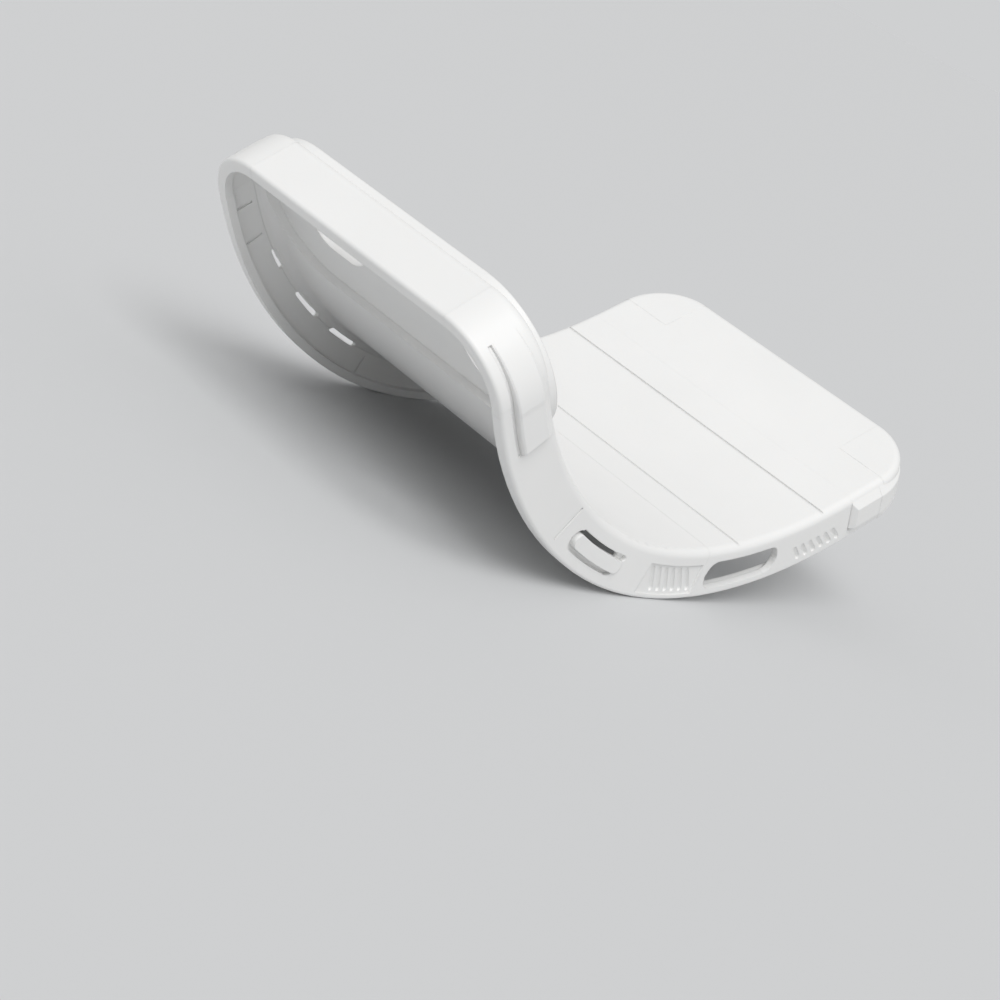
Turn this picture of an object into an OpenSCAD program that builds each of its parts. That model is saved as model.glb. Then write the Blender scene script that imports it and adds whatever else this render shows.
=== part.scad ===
// Shockproof phone case, moulded in one piece from a soft material and shown flexed.
// s is the distance along the outer face of the back panel, from the bottom end to the camera end.
// h is the height above that face: the open side of the case is at negative h.
// The flex is about the width, so that the two ends of the case rise and the rim is below.

/* [Overall] */
// Length along the outer face of the back
case_length = 160; // [130:0.5:190]
// Width across the two long walls
case_width = 78.5; // [60:0.5:95]
// Depth from the back's outer face to the rim
case_depth = 10.9; // [9:0.1:15]
// Radius of the four corners in plan
corner_radius = 13; // [9:0.5:14]
// Rounding along the edge between back and walls
back_edge_radius = 1.6; // [0.6:0.1:2.5]
// Rounding along the outside of the rim
rim_edge_radius = 0.7; // [0.3:0.1:1.2]

/* [Flex] */
// Straight stretch at the bottom end, up to the corners
bottom_run = 10; // [3:0.5:25]
// Straight stretch at the camera end, up to the corners
camera_run = 1.8; // [1.5:0.1:25]
// Radius of the gentle bend, at the back's outer face
gentle_radius = 96; // [70:1:400]
// Angle of the gentle bend
gentle_angle = 25.2; // [5:0.5:40]
// Radius of the main bend, which takes the rest of the length
main_radius = 81; // [60:1:400]

/* [Walls] */
// Thickness of the side walls
wall_thickness = 1.7; // [1.2:0.1:2.6]
// Thickness of the back panel
panel_thickness = 2; // [1:0.1:3]
// Rounding inside, where the panel meets the walls
inner_radius = 2.2; // [1:0.1:3]
// Width of the rim, measured in from the outside
rim_width = 2.6; // [2:0.1:3.5]
// Thickness of the rim's lip
lip_thickness = 1.7; // [1:0.1:2.5]

/* [Corner bumpers] */
// Height of the bumpers above the walls
bumper_height = 1.2; // [0.4:0.1:2.5]
// Length of the bumpers at the camera end, along the long walls
bumper_reach = 24; // [15:0.2:30]
// Length of the bumpers at the bottom end, along the long walls
bottom_bumper_reach = 22.6; // [15:0.2:30]
// How far a bumper has sunk into the end wall, where it fades out round the corner
bumper_sink = 0.3; // [0.2:0.05:0.8]
// Upper edge of the bumpers, below the back's outer face
bumper_top = 1.2; // [0.8:0.1:4]
// Lower edge of the bumpers, below the back's outer face
bumper_bottom = 8; // [5:0.1:9]
// Height of the slanted face at a bumper's upper edge
bumper_slant = 1.6; // [0.3:0.1:2]
// Width of the groove between bumper and rim
groove_width = 0.7; // [0.3:0.1:1.2]
// Depth of the groove between bumper and rim
groove_depth = 0.5; // [0.2:0.1:0.9]

/* [Camera surround] */
// Distance of its middle line from the camera end
camera_line = 16.5; // [14:0.1:24]
// Width of the raised surround, along the case
surround_width = 31.6; // [24:0.2:36]
// Distance of its ends from the long walls
surround_margin = 0.7; // [0.2:0.1:6]
// Height of the surround above the back
surround_height = 1.3; // [0.4:0.1:3]
// Width of the surround's border around the recess on the inside
surround_border = 1.8; // [1:0.1:4]
// Thickness of the surround over that recess
surround_thickness = 1.7; // [1:0.1:2.6]
// Radius of the lens hole
lens_hole_radius = 10.1; // [5:0.1:12]
// Distance of the lens hole from the middle of the width
lens_hole_offset = 25.2; // [10:0.1:30]
// Length of the hole for light and microphone
light_hole_length = 15.5; // [11:0.1:24]
// Width of the hole for light and microphone
light_hole_width = 10.6; // [5:0.1:12]
// Distance of that hole from the middle of the width
light_hole_offset = 18.4; // [12:0.1:28]

/* [Buttons] */
// Thickness of the button covers above the wall
button_height = 0.5; // [0.3:0.1:1.5]
// Height of the button covers, across the wall
button_width = 3; // [1.5:0.1:3.5]
// Width of the moat around the button covers
moat_width = 0.9; // [0.5:0.1:1.4]
// Depth of the moat below the wall
moat_depth = 0.9; // [0.3:0.05:1]
// Height of the slit that frees a button cover
slit_width = 1; // [0.5:0.1:1.5]
// Distance of the slit's middle below the back
slit_level = 4.1; // [3:0.1:5]
// Middle of the power button, from the camera end
power_place = 59.5; // [40:0.5:80]
// Length of the power button's slit
power_length = 15; // [8:0.5:20]
// Middle of the small upper button on the other wall, from the camera end
upper_place = 32.3; // [28:0.5:60]
// Length of its slit
upper_length = 5.4; // [4:0.2:9]
// Middle of the first volume button, from the camera end
volume_place = 46.6; // [40:0.5:80]
// Distance between the two volume buttons
volume_step = 14; // [12:0.5:20]
// Length of a volume button's slit
volume_length = 8.8; // [6:0.2:12]

/* [Cut-out and ribs] */
// Middle of the side cut-out, from the bottom end
cutout_place = 53.5; // [45:0.5:70]
// Length of the side cut-out
cutout_length = 20.8; // [12:0.2:26]
// Height of the side cut-out
cutout_height = 6.2; // [4:0.1:7]
// Distance of the side cut-out's middle below the back
cutout_level = 6; // [5:0.1:7]
// Rounding of the side cut-out's corners
cutout_radius = 2.6; // [1:0.1:3]
// Distance from one grip rib to the next
rib_step = 2.15; // [1.6:0.05:4]
// Width of a groove between ribs
rib_groove = 1.1; // [0.5:0.1:1.6]
// Depth of the grooves between ribs
rib_depth = 0.5; // [0.2:0.05:0.6]
// Length of a groove between ribs, along its lean
rib_length = 6.2; // [3:0.1:7]
// Number of rib grooves in each group
rib_count = 6; // [3:1:7]
// Lean of the grooves towards the camera end
rib_lean = 34; // [0:1:40]
// Depth of the flat panel that the ribs by the cut-out stand in
panel_dip = 0.4; // [0.1:0.05:0.5]
// Place of the thin line across the wall beside the power button, from the bottom end
border_place = 113; // [105:0.5:120]

/* [Back lines] */
// Place of the first line across the back, from the bottom end
first_line = 30.9; // [24:0.1:60]
// Distance from the first line to the second
line_step = 25.4; // [10:0.1:60]
// Width of the lines
line_width = 0.5; // [0.3:0.1:1]
// Depth of the lines
line_depth = 0.3; // [0.1:0.05:0.6]

/* [Inside] */
// Distance of the ledge along the walls' inside, below the back
ledge_level = 4.1; // [3:0.1:6]
// How much thinner the walls are below that ledge
ledge_depth = 0.25; // [0.1:0.05:0.5]
// Width of the thin marks across the wall's inside
mark_width = 0.5; // [0.3:0.1:1]

/* [Bottom end] */
// Length of the charging port's opening
port_length = 13; // [9:0.5:18]
// Height of the charging port's opening
port_height = 6.2; // [4:0.1:6.8]
// Radius of the speaker holes
speaker_radius = 0.9; // [0.5:0.1:1.4]
// Distance from one speaker hole to the next
speaker_step = 3.2; // [2.4:0.1:5]
// Number of speaker holes on each side of the port
speaker_count = 3; // [1:1:4]

/* [Hidden] */
$fn = 64;
// How far a cutting shape runs past the face that it cuts
over = 1;
// Lengths and angles of the four stretches of the back
bottom_straight = corner_radius + bottom_run;
camera_straight = corner_radius + camera_run;
gentle_length = gentle_radius * gentle_angle * PI / 180;
main_start = bottom_straight + gentle_length;
end_start = case_length - camera_straight;
main_angle = (end_start - main_start) / main_radius * 180 / PI;
total_angle = gentle_angle + main_angle;
// Centres of the two bends, and where the last straight stretch starts
gentle_centre = [bottom_straight, gentle_radius];
main_centre = gentle_centre + (gentle_radius - main_radius) * outward(gentle_angle);
end_point = main_centre + main_radius * outward(total_angle);
// The stretches of the case overlap a little, and neighbours differ by a hair, so that they join cleanly
seam_lap = 0.3;
seam_step = 0.03;
// Heights of the panel's inner face and of the lip's inner face
cavity_top = -panel_thickness;
lip_top = lip_thickness - case_depth;
// Half of the width that lies between the corners' centres
side = case_width / 2 - corner_radius;
// Middle of the camera surround
camera_place = case_length - camera_line;
// Middle of the button covers' height: their slit and groove cut a little into them
cover_lap = 0.15;
cover_level = slit_level + slit_width / 2 + button_width / 2 - cover_lap;
// Angle from the end wall at which a bumper comes out of the corner
fade_angle = acos(((corner_radius + bumper_height) * (corner_radius + bumper_height)
    - corner_radius * corner_radius - (bumper_height + bumper_sink) * (bumper_height + bumper_sink))
    / (2 * (bumper_height + bumper_sink) * corner_radius));
// The case rocks on its rim, and comes to rest with its centre of mass below the main bend's centre
mass_level = -0.33 * case_depth;
gentle_mass = arc_middle(gentle_centre, gentle_radius, 0, gentle_angle);
main_mass = arc_middle(main_centre, main_radius, gentle_angle, total_angle);
bottom_mass = [0.46 * bottom_straight, mass_level];
end_mass = end_point + 0.54 * camera_straight * along(total_angle) + mass_level * inward(total_angle);
length_mass = bottom_straight * bottom_mass + gentle_length * gentle_mass
    + (end_start - main_start) * main_mass + camera_straight * end_mass;
middle_mass = length_mass / case_length;
// What the end walls, the bumpers and the camera surround add to that
rest_trim = -1.4;
rest_tilt = atan2(middle_mass[0] - main_centre[0], main_centre[1] - middle_mass[1]) + rest_trim;

// How far the two ends reach out in that place, and the shift that puts their middle over the origin
rim_middle = rim_edge_radius - case_depth;
bottom_reach = turned([rim_edge_radius, rim_middle]) + rim_edge_radius;
camera_reach = turned(point_at(case_length) - rim_edge_radius * along(total_angle)
    + rim_middle * inward(total_angle)) - rim_edge_radius;
middle_shift = -(bottom_reach + camera_reach) / 2;

// Angle of the overlap on a bend
function lap_angle(r) = seam_lap / r * 180 / PI;
// Direction from a bend's centre to the back, at an angle from the bottom end
function outward(a) = [sin(a), -cos(a)];
// Direction from the back towards the bend's centre
function inward(a) = -outward(a);
// Direction along the back
function along(a) = [cos(a), sin(a)];
// X of a point of the section once the case is at rest
function turned(p) =
    (main_centre[0] - p[0]) * cos(rest_tilt) + (main_centre[1] - p[1]) * sin(rest_tilt);
// Middle of mass of a curved stretch of the section
function arc_middle(c, r, a0, a1) =
    c + (r - mass_level) * (2 * sin((a1 - a0) / 2) / ((a1 - a0) * PI / 180)) * outward((a0 + a1) / 2);
// Angle of the back at a distance from the bottom end
function angle_at(s) =
    s < bottom_straight ? 0 :
    s < main_start ? (s - bottom_straight) / gentle_radius * 180 / PI :
    s < end_start ? gentle_angle + (s - main_start) / main_radius * 180 / PI : total_angle;
// Angle on a bend, counted from where the bend starts
function bend_angle(s, start, r) = (s - start) / r * 180 / PI;
// Point of the back at a distance from the bottom end
function point_at(s) =
    s < bottom_straight ? [s, 0] :
    s < main_start ? gentle_centre + gentle_radius * outward(angle_at(s)) :
    s < end_start ? main_centre + main_radius * outward(angle_at(s)) :
    end_point + (s - end_start) * along(total_angle);

// Puts its children on the back at s: X runs on along the back, Z points out of it
module at(s) {
    p = point_at(s);
    translate([p[0], 0, p[1]])
        rotate([0, -angle_at(s), 0])
            children();
}

// Sweeps a section, drawn across the width and up from the back, around a bend
module bend_sweep(centre, radius, a0, a1) {
    translate([centre[0], 0, centre[1]])
        rotate([-90, 90, 0])
            rotate([0, 0, -a1])
                rotate_extrude(angle = a1 - a0)
                    translate([radius, 0])
                        rotate(90)
                            children();
}

// Sweeps a section from s0 to s1 on the bend that holds them
module on_bend(s0, s1) {
    if ((s0 + s1) / 2 < main_start)
        bend_sweep(gentle_centre, gentle_radius, bend_angle(s0, bottom_straight, gentle_radius),
                bend_angle(s1, bottom_straight, gentle_radius))
            children();
    else
        bend_sweep(main_centre, main_radius, gentle_angle + bend_angle(s0, main_start, main_radius),
                gentle_angle + bend_angle(s1, main_start, main_radius))
            children();
}

// Sweeps a section along X
module run(length) {
    rotate([90, 0, 90])
        linear_extrude(length)
            children();
}

// Half of a section, as it lies inside one wall, with rounded corners at the wall
module band(inset, h0, h1, low_radius, high_radius, reach) {
    difference() {
        translate([inset, h0])
            square([reach - inset, h1 - h0]);
        if (low_radius > 0)
            translate([inset, h0])
                corner_cut(low_radius);
        if (high_radius > 0)
            translate([inset, h1])
                mirror([0, 1])
                    corner_cut(high_radius);
    }
}

// What a rounding takes off a corner
module corner_cut(r) {
    difference() {
        translate([-over, -over])
            square(r + over);
        translate([r, r])
            circle(r);
    }
}

// Whole section, from one long wall to the other
module full_band(inset, h0, h1, low_radius, high_radius) {
    for (k = [0, 1])
        mirror([k, 0])
            translate([-case_width / 2, 0])
                band(inset, h0, h1, low_radius, high_radius, case_width / 2 + over / 2);
}

// The stretch past the corners' centres, for an end at X = 0
module end_cap(inset, h0, h1, low_radius, high_radius) {
    for (k = [0, 1])
        mirror([0, k, 0])
            translate([-corner_radius, side, 0])
                rotate_extrude(angle = 90)
                    translate([corner_radius, 0])
                        mirror([1, 0])
                            band(inset, h0, h1, low_radius, high_radius, corner_radius);
    translate([0, side + seam_lap, 0])
        rotate([90, 0, 0])
            linear_extrude(2 * (side + seam_lap))
                mirror([1, 0])
                    band(inset + seam_step, h0 + seam_step, h1 - seam_step, low_radius, high_radius,
                        corner_radius + seam_lap);
}

// A straight end with its rounded corners, which runs on from a bend at X = 0
module straight_end(length, inset, h0, h1, low_radius, high_radius) {
    translate([-seam_lap, 0, 0])
        run(length - corner_radius + 2 * seam_lap)
            full_band(inset + seam_step, h0 + seam_step, h1 - seam_step, low_radius, high_radius);
    translate([length, 0, 0])
        end_cap(inset, h0, h1, low_radius, high_radius);
}

// A closed form that follows the whole case, with rounded corners in plan
module slab(inset, h0, h1, low_radius, high_radius) {
    step = seam_step;
    translate([bottom_straight, 0, 0])
        mirror([1, 0, 0])
            straight_end(bottom_straight, inset, h0, h1, low_radius, high_radius);
    bend_sweep(gentle_centre, gentle_radius, -lap_angle(gentle_radius),
            gentle_angle + lap_angle(gentle_radius))
        full_band(inset, h0, h1, low_radius, high_radius);
    bend_sweep(main_centre, main_radius, gentle_angle - lap_angle(main_radius),
            total_angle + lap_angle(main_radius))
        full_band(inset + step, h0 + step, h1 - step, low_radius, high_radius);
    at(end_start)
        straight_end(camera_straight, inset + step, h0 + step, h1 - step, low_radius, high_radius);
}

// A bar that follows the bend, from y0 to y1, with its four long edges rounded by r
module bent_bar(s0, s1, level, height, r, y0, y1) {
    flat = height / 2 - r;
    on_bend(s0 + r, s1 - r)
        translate([y0, -level - height / 2])
            square([y1 - y0, height]);
    if (flat > 0.1)
        on_bend(s0, s1)
            translate([y0, -level - flat])
                square([y1 - y0, 2 * flat]);
    for (s = [s0 + r, s1 - r])
        for (up = flat > 0.1 ? [-1, 1] : [0])
            at(s)
                translate([0, y0 - up * up * seam_step / 2, up * flat - level])
                    rotate([-90, 0, 0])
                        cylinder(r = r - seam_step, h = y1 - y0);
}

// Section of a corner bumper, outside the wall and rooted in it
module bumper_section(shrink) {
    root = wall_thickness / 2;
    bevel = bumper_height / 4;
    slope = bumper_slant / bumper_height;
    low = shrink - bumper_bottom;
    polygon([
        [root, low],
        [bevel - bumper_height + shrink, low],
        [shrink - bumper_height, low + bevel],
        [shrink - bumper_height, -bumper_top - bumper_slant],
        [root / 2, -bumper_top + (root / 2 - shrink) * slope],
        [root, -bumper_top - root * slope]]);
}

// Section of a bumper on the wall at positive Y
module wall_bumper(shrink) {
    translate([case_width / 2, 0])
        mirror([1, 0])
            bumper_section(shrink);
}

// Two corner bumpers on a straight end that runs on from a bend at X = 0
module bumpers(length, reach) {
    start = max(length - reach, -seam_lap);
    radius = corner_radius + bumper_height;
    for (k = [0, 1])
        mirror([0, k, 0]) {
            translate([length - radius - bumper_sink, side, 0])
                rotate_extrude(angle = 90)
                    translate([corner_radius, 0])
                        mirror([1, 0])
                            bumper_section(0);
            translate([start, 0, 0])
                run(length - radius - bumper_sink - start + seam_lap)
                    wall_bumper(seam_step);
        }
}

// The stretch of two bumpers that lies on a bend, from s0 to s1
module bent_bumpers(s0, s1) {
    on_bend(s0, s1)
        for (k = [0, 1])
            mirror([k, 0])
                wall_bumper(2 * seam_step);
}

// Slanted cuts that end two bumpers softly at s, for bumpers that run on towards positive or negative X
module bumper_ends(s, towards) {
    low = case_width / 2 + bumper_height / 8;
    high = case_width / 2 + bumper_height + over;
    at(s)
        translate([0, 0, -bumper_bottom - over])
            linear_extrude(bumper_bottom + over + 1)
                for (k = [0, 1])
                    mirror([0, k])
                        polygon([[-towards * over, low], [0, low], [towards * (high - low), high],
                            [-towards * over, high]]);
}

// The groove between a bumper and the rim, on a straight end
module bumper_groove(length, reach) {
    start = max(length - reach, -seam_lap);
    for (k = [0, 1])
        mirror([0, k, 0]) {
            translate([length - corner_radius, side, 0])
                rotate([0, 0, fade_angle])
                    rotate_extrude(angle = 92 - fade_angle)
                        translate([corner_radius, 0])
                            mirror([1, 0])
                                groove_section(0);
            translate([start, 0, 0])
                run(length - corner_radius - start + seam_lap)
                    wall_groove(seam_step);
        }
}

// The stretch of two grooves that lies on a bend, from s0 to s1
module bent_grooves(s0, s1) {
    on_bend(s0, s1)
        for (k = [0, 1])
            mirror([k, 0])
                wall_groove(2 * seam_step);
}

// Section of the groove on the wall at positive Y
module wall_groove(shrink) {
    translate([case_width / 2, 0])
        mirror([1, 0])
            groove_section(shrink);
}

// Section of the groove between a bumper and the rim
module groove_section(shrink) {
    translate([-bumper_height - over, -bumper_bottom - groove_width + shrink])
        square([bumper_height + over + groove_depth - shrink, groove_width]);
}

// Outline of the camera surround, or of a form inside it
module stadium(border) {
    width = surround_width - 2 * border;
    reach = case_width / 2 - surround_margin - border - width / 2;
    square([width, 2 * reach], center = true);
    for (k = [-1, 1])
        translate([0, k * reach])
            circle(width / 2 - seam_step / 2);
}

// A layer of the camera surround from h0 to h1, which follows the back
module camera_layer(border, h0, h1) {
    intersection() {
        union() {
            on_bend(camera_place - surround_width / 2 - over, end_start + seam_lap)
                translate([-case_width / 2, h0])
                    square([case_width, h1 - h0]);
            at(end_start)
                translate([-seam_lap, 0, 0])
                    run(camera_straight + seam_lap)
                        translate([-case_width / 2 + over / 4, h0 + seam_step])
                            square([case_width - over / 2, h1 - h0 - 2 * seam_step]);
        }
        at(camera_place)
            translate([0, 0, -5])
                linear_extrude(20)
                    stadium(border);
    }
}

// Cuts for the lens, and for the light and microphone beside it
module camera_holes() {
    at(camera_place) {
        translate([0, lens_hole_offset, -panel_thickness - over])
            cylinder(r = lens_hole_radius, h = panel_thickness + surround_height + 3 * over);
        translate([0, -light_hole_offset, -panel_thickness - over])
            linear_extrude(panel_thickness + surround_height + 3 * over)
                rotate(90)
                    pill(light_hole_length, light_hole_width);
    }
}

// A pill shape along X
module pill(length, width) {
    square([length - width, width], center = true);
    for (k = [-1, 1])
        translate([k * (length - width) / 2, 0])
            circle(width / 2 - seam_step / 4);
}

// Places a form for the wall at positive Y on either wall
module on_wall(wall) {
    if (wall > 0)
        children();
    else
        mirror([0, 1, 0])
            children();
}

// A button cover on a wall, around the middle of its slit
module button_cover(wall, place, length) {
    on_wall(wall)
        bent_bar(place - length / 2 - 1.5 * slit_width, place + length / 2 + slit_width / 2, cover_level,
            button_width, button_width / 2, case_width / 2 - wall_thickness * 0.65,
            case_width / 2 + button_height);
}

// The moat around a button cover: along its rim side and round its end towards the camera
module button_moat(wall, place, length) {
    low = cover_level + button_width / 2 + moat_width;
    high = slit_level - slit_width * 0.2;
    on_wall(wall)
        bent_bar(place - length / 2 - slit_width, place + length / 2 + slit_width / 2 + moat_width,
            (low + high) / 2, low - high, button_width / 2 + moat_width * 0.4,
            case_width / 2 - moat_depth, case_width / 2 + over);
}

// The slit that frees a button cover, with a shallow end towards the bottom
module button_slit(wall, place, length) {
    on_wall(wall) {
        bent_bar(place - length / 2, place + length / 2, slit_level, slit_width, slit_width / 2,
            case_width / 2 - wall_thickness - over, case_width / 2 + over);
        bent_bar(place - length / 2 - 2 * slit_width, place - length / 2 + 2 * slit_width, slit_level,
            slit_width * 1.2, slit_width * 0.6, case_width / 2 - moat_depth, case_width / 2 + over);
    }
}

// Grooves between grip ribs on the wall at positive Y, from s on, in a face that lies dip below the wall
module ribs(s, level, length, dip) {
    r = (rib_groove * rib_groove / 4 + rib_depth * rib_depth) / (2 * rib_depth);
    half = length / 2;
    for (k = [0 : rib_count - 1])
        at(s + k * rib_step)
            translate([0, case_width / 2 - dip + r - rib_depth, -level])
                rotate([0, rib_lean, 0])
                    rotate_extrude()
                        difference() {
                            translate([0, -half])
                                square([r, length]);
                            translate([r, -half])
                                mirror([1, 0])
                                    corner_cut(r);
                            translate([r, half])
                                rotate(180)
                                    corner_cut(r);
                        }
}

// A shallow flat dip in the wall at positive Y, from s0 to s1 and from h0 to h1
module wall_dip(s0, s1, h0, h1, depth) {
    on_bend(s0, s1)
        translate([case_width / 2 - depth, h0])
            square([depth + over, h1 - h0]);
}

// A thin mark across the inside of the wall at negative Y
module inner_mark(s, h0, h1) {
    at(s)
        translate([-mark_width / 2, wall_thickness - ledge_depth - mark_width / 2 - case_width / 2, h0])
            cube([mark_width, wall_thickness, h1 - h0]);
}

// A thin line across the back
module back_line(s) {
    at(s)
        translate([-line_width / 2, -case_width / 2 - over, -line_depth])
            cube([line_width, case_width + 2 * over, line_depth + over]);
}

// Openings in the bottom end for the plug and the sound
module bottom_openings() {
    level = (lip_top + cavity_top) / 2;
    translate([-bumper_height - over, 0, level]) {
        run(bumper_height + wall_thickness + 2 * over)
            pill(port_length, port_height);
        for (k = [-1, 1])
            for (i = [0 : speaker_count - 1])
                translate([0, k * (port_length / 2 + speaker_step * (i + 1)), 0])
                    rotate([0, 90, 0])
                        cylinder(r = speaker_radius, h = bumper_height + wall_thickness + 2 * over);
    }
}

// The outer form, with the shallow dips in its walls
module outer_form() {
    rib_start = cutout_place + cutout_length / 2 + 2.1;
    rib_end = rib_start + 16.5;
    power = case_length - power_place;
    difference() {
        union() {
            slab(0, -case_depth, 0, rim_edge_radius, back_edge_radius);
            translate([bottom_straight, 0, 0])
                mirror([1, 0, 0])
                    bumpers(bottom_straight, bottom_bumper_reach);
            if (bottom_bumper_reach > bottom_straight + seam_lap)
                bent_bumpers(bottom_straight - seam_lap / 3, bottom_bumper_reach);
            at(end_start)
                bumpers(camera_straight, bumper_reach);
            if (bumper_reach > camera_straight + seam_lap)
                bent_bumpers(case_length - bumper_reach, end_start + seam_lap / 3);
            camera_layer(0, -1, surround_height);
        }
        bumper_ends(bottom_bumper_reach, -1);
        bumper_ends(case_length - bumper_reach, 1);
        translate([bottom_straight, 0, 0])
            mirror([1, 0, 0])
                bumper_groove(bottom_straight, bottom_bumper_reach);
        if (bottom_bumper_reach > bottom_straight + seam_lap)
            bent_grooves(bottom_straight - seam_lap, bottom_bumper_reach);
        at(end_start)
            bumper_groove(camera_straight, bumper_reach);
        if (bumper_reach > camera_straight + seam_lap)
            bent_grooves(case_length - bumper_reach, end_start + seam_lap);
        wall_dip(rib_start, rib_end, -case_depth + 1.2, -3.3, panel_dip);
        at(border_place)
            translate([-mark_width / 2, case_width / 2 - mark_width / 2, -case_depth + 2])
                cube([mark_width, over, case_depth - 3.6]);
        ribs(rib_start + 2.6, 6.5, rib_length, panel_dip);
        ribs(26.4, 7.2, rib_length * 0.7, 0);
        button_moat(1, power, power_length);
        button_moat(-1, case_length - upper_place, upper_length);
        button_moat(-1, case_length - volume_place, volume_length);
        button_moat(-1, case_length - volume_place - volume_step, volume_length);
    }
}

// The hollow for the phone, with the ledge in its walls and the recess under the camera surround
module hollow() {
    slab(wall_thickness, -ledge_level - 1, cavity_top, 0, inner_radius);
    slab(wall_thickness - ledge_depth, lip_top, -ledge_level, 0, 0);
    slab(rim_width, -case_depth - over, lip_top + over, 0, 0);
    camera_layer(surround_border, cavity_top - 0.5, surround_height - surround_thickness);
    inner_mark(case_length - 17.4, -9, -5.2);
    inner_mark(case_length - 25, -8.6, -5);
    inner_mark(case_length - 69.5, -9, -5.2);
}

module case() {
    color([0.95, 0.95, 0.95])
        in_rest_place()
            difference() {
                union() {
                    outer_form();
                    button_cover(1, case_length - power_place, power_length);
                    button_cover(-1, case_length - upper_place, upper_length);
                    button_cover(-1, case_length - volume_place, volume_length);
                    button_cover(-1, case_length - volume_place - volume_step, volume_length);
                }
                hollow();
                camera_holes();
                button_slit(1, case_length - power_place, power_length);
                button_slit(-1, case_length - upper_place, upper_length);
                button_slit(-1, case_length - volume_place, volume_length);
                button_slit(-1, case_length - volume_place - volume_step, volume_length);
                bent_bar(cutout_place - cutout_length / 2, cutout_place + cutout_length / 2, cutout_level,
                    cutout_height, cutout_radius, case_width / 2 - wall_thickness - over,
                    case_width / 2 + over);
                back_line(first_line);
                back_line(first_line + line_step);
                bottom_openings();
            }
}

// Turns the case to where it comes to rest on its rim, with its middle over the origin
module in_rest_place() {
    translate([middle_shift, 0, main_radius + case_depth])
        rotate([0, 0, 180])
            rotate([0, rest_tilt, 0])
                translate([-main_centre[0], 0, -main_centre[1]])
                    children();
}

case();
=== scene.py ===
# Looks for the shockproof phone case: one soft white moulded shell, lying flexed on its rim
import bpy
import math
from mathutils import Matrix, Vector

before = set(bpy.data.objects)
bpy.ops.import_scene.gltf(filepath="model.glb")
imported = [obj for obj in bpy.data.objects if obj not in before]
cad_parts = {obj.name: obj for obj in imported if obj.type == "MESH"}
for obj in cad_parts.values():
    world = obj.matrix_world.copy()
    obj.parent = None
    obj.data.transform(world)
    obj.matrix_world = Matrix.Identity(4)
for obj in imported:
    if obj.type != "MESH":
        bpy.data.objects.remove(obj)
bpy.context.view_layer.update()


def srgb(hexColour):
    # sRGB hex colour to the linear values that Blender's sockets take
    out = []
    for k in (1, 3, 5):
        c = int(hexColour[k:k + 2], 16) / 255
        out.append(c / 12.92 if c <= 0.04045 else ((c + 0.055) / 1.055) ** 2.4)
    return (*out, 1.0)


def addNode(tree, kind, settings=None, links=None):
    # adds a node, sets its attributes and sockets, and links its inputs
    node = tree.nodes.new(kind)
    for name, value in (settings or {}).items():
        if isinstance(name, str) and hasattr(node, name):
            setattr(node, name, value)
        else:
            node.inputs[name].default_value = value
    for name, source in (links or {}).items():
        tree.links.new(source, node.inputs[name])
    return node


# moulded thermoplastic polyurethane: satin, very slightly uneven from the mould's fine spark texture
shellLook = {
    "colour": "#F3F3F2",
    "deepColour": "#ECECEB",
    "roughness": (0.36, 0.48),
    "refraction": 1.5,
    "depthWeight": 0.12,   # a little light goes into the soft plastic
    "depthColours": (0.9, 0.85, 0.8),
    "depthMm": 1.2,
    "patchSizeMm": 22.0,   # soft changes of gloss
    "grainSizeMm": 0.22,   # fine texture of the mould
    "grainHeightMm": 0.006,
    "flowSizeMm": 6.0,     # faint waviness of a thick soft moulding
    "flowHeightMm": 0.02,
    "edgeRadiusMm": 0.3,   # a mould has no sharp corners, so the shading rounds every edge
    "edgeSamples": 6,
}


def mouldedSoftWhite(look):
    mat = bpy.data.materials.new("moulded_soft_white_tpu")
    mat.use_nodes = True
    tree = mat.node_tree
    shader = tree.nodes["Principled BSDF"]
    shader.inputs["IOR"].default_value = look["refraction"]
    shader.inputs["Subsurface Weight"].default_value = look["depthWeight"]
    shader.inputs["Subsurface Radius"].default_value = look["depthColours"]
    shader.inputs["Subsurface Scale"].default_value = look["depthMm"] / 1000
    place = addNode(tree, "ShaderNodeTexCoord").outputs["Object"]
    patch = addNode(tree, "ShaderNodeTexNoise", {"Scale": 1000 / look["patchSizeMm"], "Detail": 2.0},
                    {"Vector": place})
    grain = addNode(tree, "ShaderNodeTexNoise", {"Scale": 1000 / look["grainSizeMm"], "Detail": 1.0},
                    {"Vector": place})
    flow = addNode(tree, "ShaderNodeTexNoise", {"Scale": 1000 / look["flowSizeMm"], "Detail": 1.0},
                   {"Vector": place})
    tint = addNode(tree, "ShaderNodeMix", {"data_type": "RGBA"}, {"Factor": patch.outputs["Fac"]})
    tint.inputs["A"].default_value = srgb(look["colour"])
    tint.inputs["B"].default_value = srgb(look["deepColour"])
    gloss = addNode(tree, "ShaderNodeMapRange", {"To Min": look["roughness"][0], "To Max": look["roughness"][1]},
                    {"Value": patch.outputs["Fac"]})
    soft = addNode(tree, "ShaderNodeBevel", {"samples": look["edgeSamples"], "Radius": look["edgeRadiusMm"] / 1000})
    wave = addNode(tree, "ShaderNodeBump", {"Strength": 1.0, "Distance": look["flowHeightMm"] / 1000},
                   {"Height": flow.outputs["Fac"], "Normal": soft.outputs["Normal"]})
    bump = addNode(tree, "ShaderNodeBump", {"Strength": 1.0, "Distance": look["grainHeightMm"] / 1000},
                   {"Height": grain.outputs["Fac"], "Normal": wave.outputs["Normal"]})
    tree.links.new(tint.outputs["Result"], shader.inputs["Base Color"])
    tree.links.new(gloss.outputs["Result"], shader.inputs["Roughness"])
    tree.links.new(bump.outputs["Normal"], shader.inputs["Normal"])
    return mat


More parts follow.
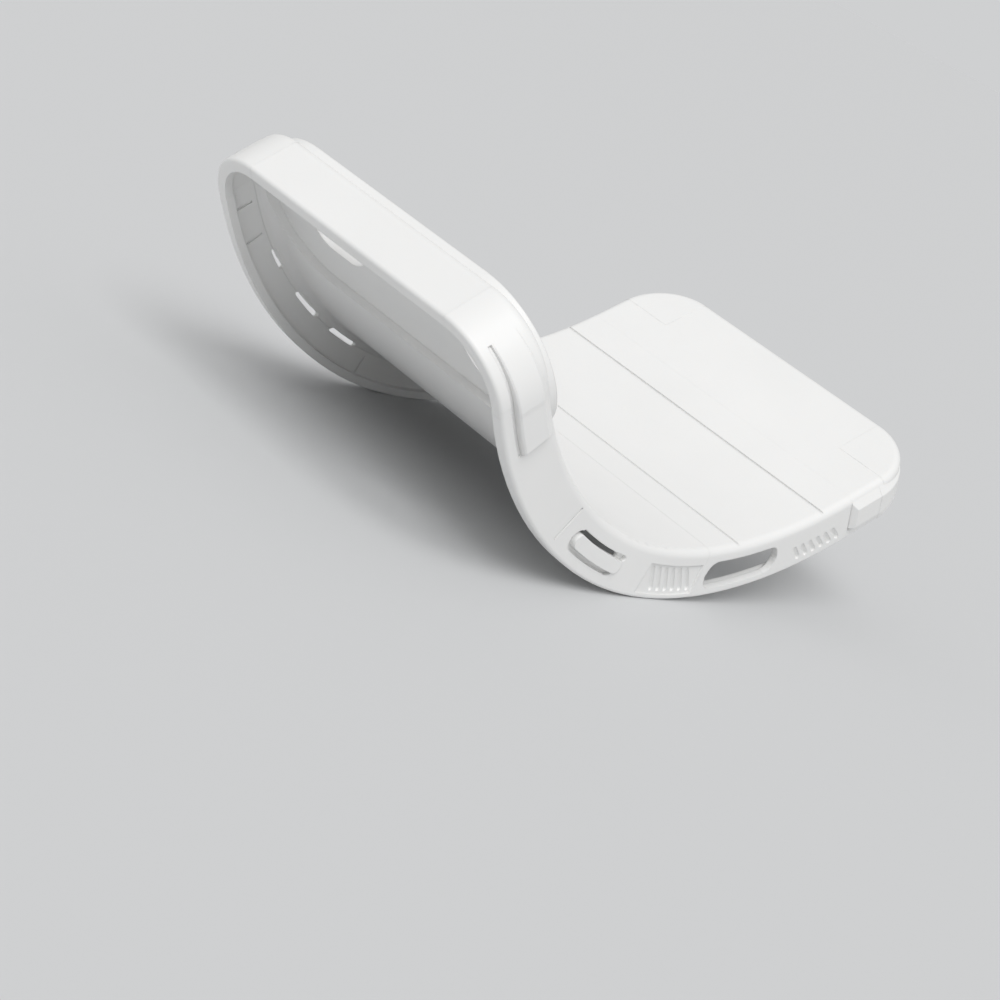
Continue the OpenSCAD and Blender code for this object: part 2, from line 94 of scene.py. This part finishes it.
shellMat = mouldedSoftWhite(shellLook)
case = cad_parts["case"]
for slot in case.material_slots:
    slot.material = shellMat
print("shell material set")

# pale floor, which runs on into a backdrop of the same tone
floorLook = {
    "colour": "#D3D4D5",
    "backdrop": "#CFD0D1",
    "roughness": 0.95,
    "radius": 12.0,
    "corners": 128,
}
bpy.ops.object.select_all(action="DESELECT")
bpy.ops.mesh.primitive_circle_add(vertices=floorLook["corners"], radius=floorLook["radius"], fill_type="NGON",
                                  location=(0, 0, 0))
floor = bpy.context.object
floor.name = "studio_floor"
floorMat = bpy.data.materials.new("matt_pale_paper")
floorMat.use_nodes = True
floorShader = floorMat.node_tree.nodes["Principled BSDF"]
floorShader.inputs["Base Color"].default_value = srgb(floorLook["colour"])
floorShader.inputs["Roughness"].default_value = floorLook["roughness"]
floor.data.materials.append(floorMat)

# white light from all round; the camera itself sees the backdrop's tone instead
skyLook = {"colour": "#FFFFFF", "strength": 0.55}
world = bpy.data.worlds.new("soft_studio")
bpy.context.scene.world = world
world.use_nodes = True
worldTree = world.node_tree
sky = worldTree.nodes["Background"]
sky.inputs["Color"].default_value = srgb(skyLook["colour"])
sky.inputs["Strength"].default_value = skyLook["strength"]
shown = addNode(worldTree, "ShaderNodeBackground", {"Color": srgb(floorLook["backdrop"]), "Strength": 1.0})
seen = addNode(worldTree, "ShaderNodeLightPath")
pick = addNode(worldTree, "ShaderNodeMixShader", None,
               {0: seen.outputs["Is Camera Ray"], 1: sky.outputs[0], 2: shown.outputs[0]})
worldTree.links.new(pick.outputs[0], worldTree.nodes["World Output"].inputs["Surface"])

# one wide soft key from above and the left, which lights floor and backdrop evenly
keyLook = {
    "place": (-1, -0.6, 1.6),
    "towards": (0.48, 0.41, -0.77),
    "strength": 1.62,
    "spread": 40.0,
}
bpy.ops.object.light_add(type="SUN", location=keyLook["place"])
key = bpy.context.object
key.name = "soft_key"
key.data.energy = keyLook["strength"]
key.data.angle = math.radians(keyLook["spread"])
key.rotation_euler = Vector(keyLook["towards"]).to_track_quat("-Z", "Y").to_euler()
print("floor and lights set")

# camera at the photograph's viewing angle
shot = {
    "place": (-0.3491657, -0.2420123, 0.1151964),
    "right": (0.6061541, -0.6463831, 0.4634286),
    "up": (-0.0818627, 0.5288755, 0.8447421),
    "lens": 80.345,
    "sensor": 36,
    "nearAndFar": (0.01, 50),
}
bpy.ops.object.camera_add(location=shot["place"])
camera = bpy.context.object
right = Vector(shot["right"]).normalized()
up = (Vector(shot["up"]) - right * right.dot(Vector(shot["up"]))).normalized()
camera.rotation_euler = Matrix((right, up, right.cross(up))).transposed().to_euler()
camera.data.lens = shot["lens"]
camera.data.sensor_width = shot["sensor"]
camera.data.clip_start, camera.data.clip_end = shot["nearAndFar"]
bpy.context.scene.camera = camera
bpy.context.scene.view_settings.view_transform = "Standard"
print("camera set")
